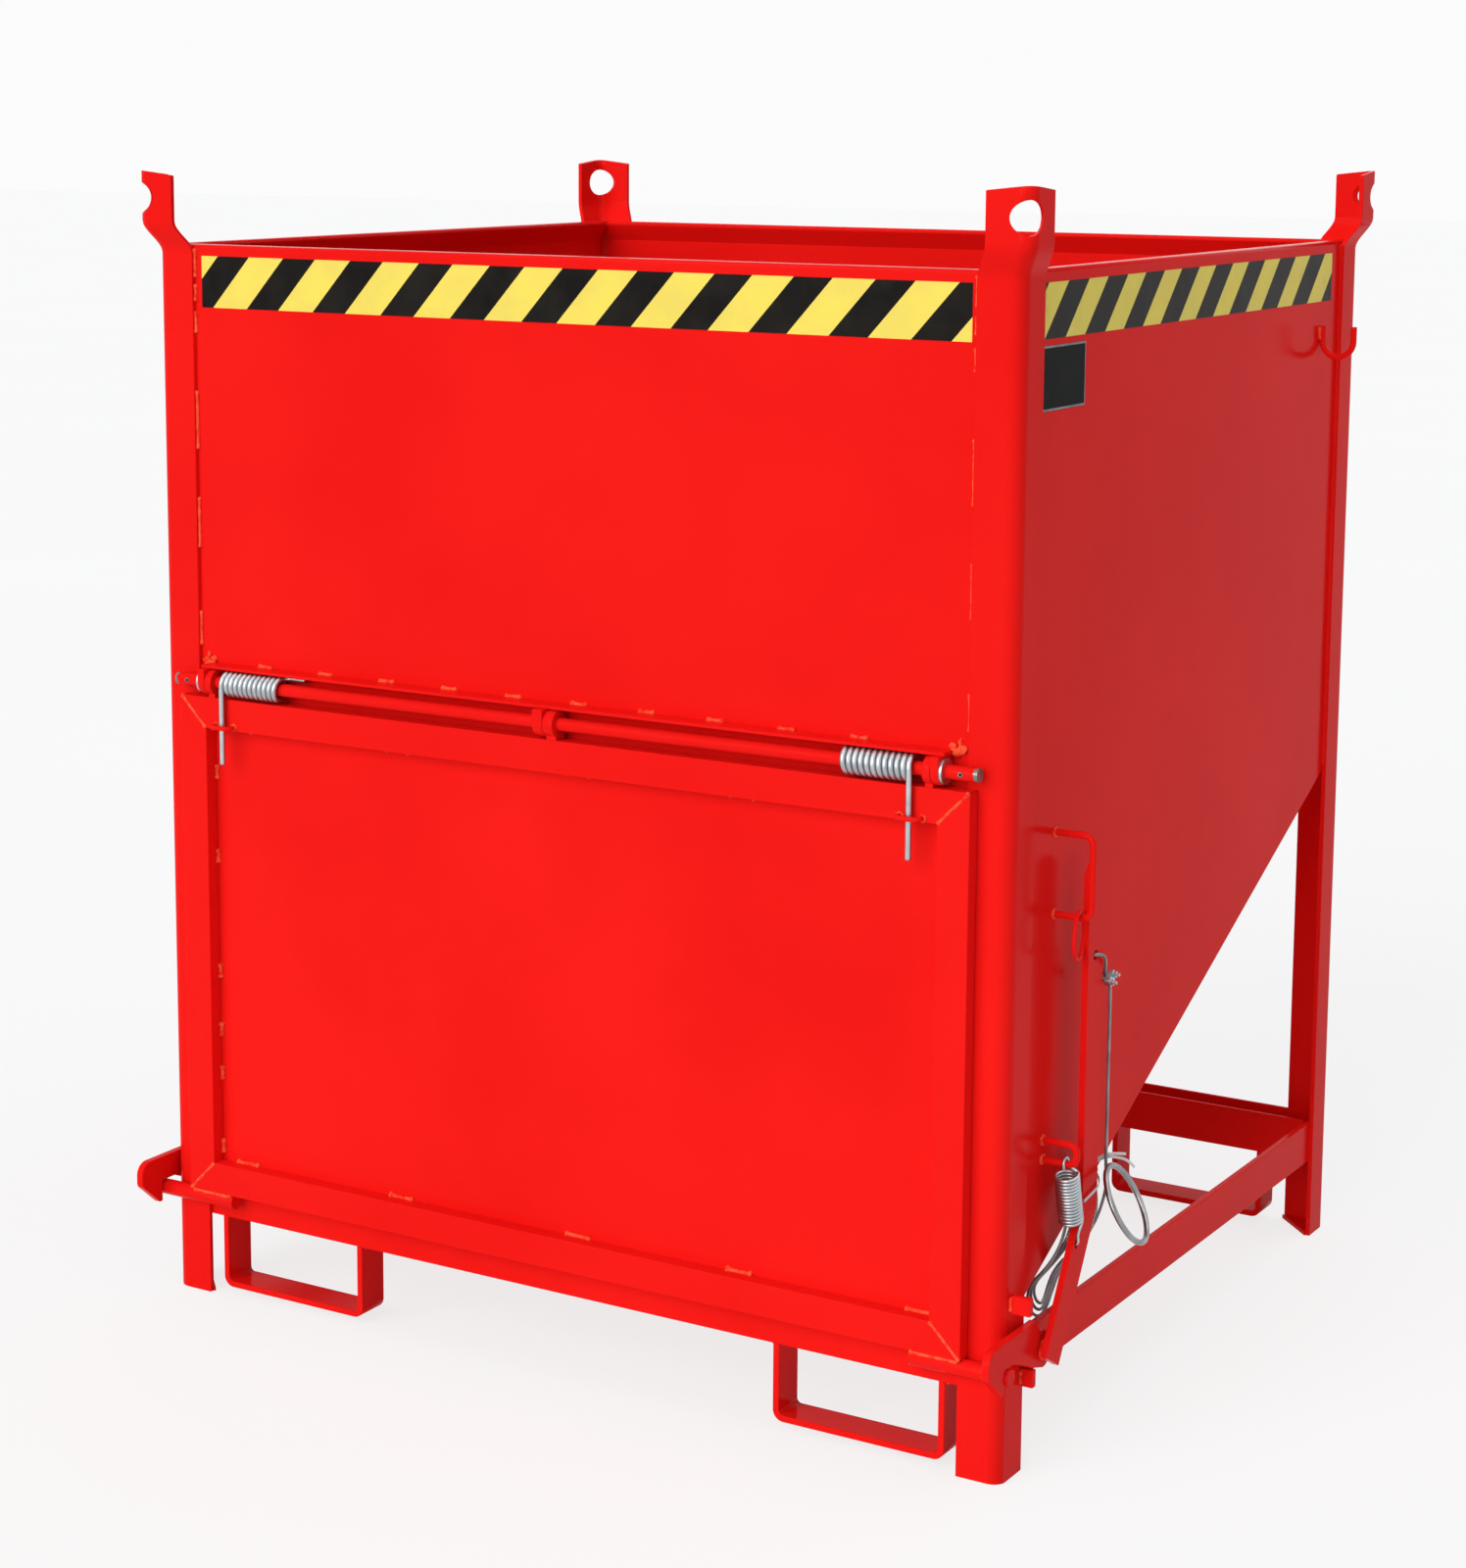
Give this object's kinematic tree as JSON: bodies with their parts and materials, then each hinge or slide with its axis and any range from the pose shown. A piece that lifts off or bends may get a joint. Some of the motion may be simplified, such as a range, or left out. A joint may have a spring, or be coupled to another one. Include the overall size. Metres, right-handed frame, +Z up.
{
  "type": "silo container",
  "caption": "Stackable steel hopper on four posts with a sloping floor, sprung discharge flap, hand-lever latch with pull rope, fork straps and crane eyes.",
  "frame": {"origin": "on the ground, at the middle of the overall outline", "axes": "+Z up, +Y from the flap to the rear, +X towards the lever side"},
  "size_m": [1.3107, 1.109, 1.458],
  "materials": {
    "red_paint": "glossy red enamel",
    "zinc_plate": "zinc plated",
    "wire_rope": "stranded wire",
    "bare_steel": "drawn bar"
  },
  "bodies": {
    "frame": {"body_eye_centre": "red_paint", "body_eye_left": "red_paint", "body_eye_right": "red_paint", "foot_plates": "red_paint", "fork_strap_front_left": "red_paint", "fork_strap_front_right": "red_paint", "fork_strap_rear_left": "red_paint", "fork_strap_rear_right": "red_paint", "front_panel": "red_paint", "front_sill": "red_paint", "hinge_rod": "red_paint", "hinge_shelf": "red_paint", "hinge_washers": "zinc_plate", "hopper_floor": "red_paint", "left_wall": "red_paint", "lever_guard": "red_paint", "post_front_left": "red_paint", "post_front_right": "red_paint", "post_rear_left": "red_paint", "post_rear_right": "red_paint", "rear_rail": "red_paint", "rear_wall": "red_paint", "right_wall": "red_paint", "rope_hook": "red_paint", "shaft_bush_left": "bare_steel", "shaft_bush_right": "bare_steel", "side_rail_left": "red_paint", "side_rail_right": "red_paint", "split_pins": "zinc_plate", "spring_anchor": "red_paint", "stop_tab_lower": "red_paint", "stop_tab_upper": "red_paint", "tension_spring": "zinc_plate", "torsion_spring_left": "zinc_plate", "torsion_spring_right": "zinc_plate"},
    "flap": {"flap_bar_bottom": "red_paint", "flap_bar_left": "red_paint", "flap_bar_right": "red_paint", "flap_bar_top": "red_paint", "flap_eye_centre": "red_paint", "flap_eye_left": "red_paint", "flap_eye_right": "red_paint", "flap_panel": "red_paint", "flap_pin_left": "red_paint", "flap_pin_right": "red_paint", "spring_staple_left": "red_paint", "spring_staple_right": "red_paint"},
    "latch": {"latch_shaft": "red_paint", "hook_left": "red_paint", "hook_right": "red_paint", "latch_lever": "red_paint"},
    "lock_ring": {"lock_ring": "red_paint"},
    "rope": {"rope_eye": "wire_rope", "clip_saddle": "zinc_plate", "clip_bolt": "zinc_plate", "pull_rope": "wire_rope", "rope_coil": "wire_rope", "rope_tie": "zinc_plate", "pull_ring": "zinc_plate"}
  },
  "joints": [
    {"name": "flap_hinge", "type": "hinge", "parent": "frame", "child": "flap", "pos_m": [0, -0.5065, 0.8186], "axis": [-1, 0, 0], "range_deg": [0, 80], "stiffness_Nm_per_rad": 29, "springref_deg": -17.19, "deforming": ["torsion_spring_left", "torsion_spring_right"]},
    {"name": "latch_turn", "type": "hinge", "parent": "frame", "child": "latch", "pos_m": [0, -0.4125, 0.14], "axis": [-1, 0, 0], "range_deg": [0, 16], "stiffness_Nm_per_rad": 60, "springref_deg": -6.3, "deforming": ["tension_spring"]},
    {"name": "lock_ring_swing", "type": "hinge", "parent": "frame", "child": "lock_ring", "pos_m": [0.626, -0.3685, 0.638], "axis": [-1, 0, 0], "range_deg": [0, 90]},
    {"name": "rope_swing", "type": "hinge", "parent": "latch", "child": "rope", "pos_m": [0.624, -0.32557, 0.585], "axis": [-1, 0, 0], "range_deg": [-16, 0]}
  ],
  "couplings": [
    {"joint": "rope_swing", "follows": "latch_turn", "ratio": -1}
  ]
}
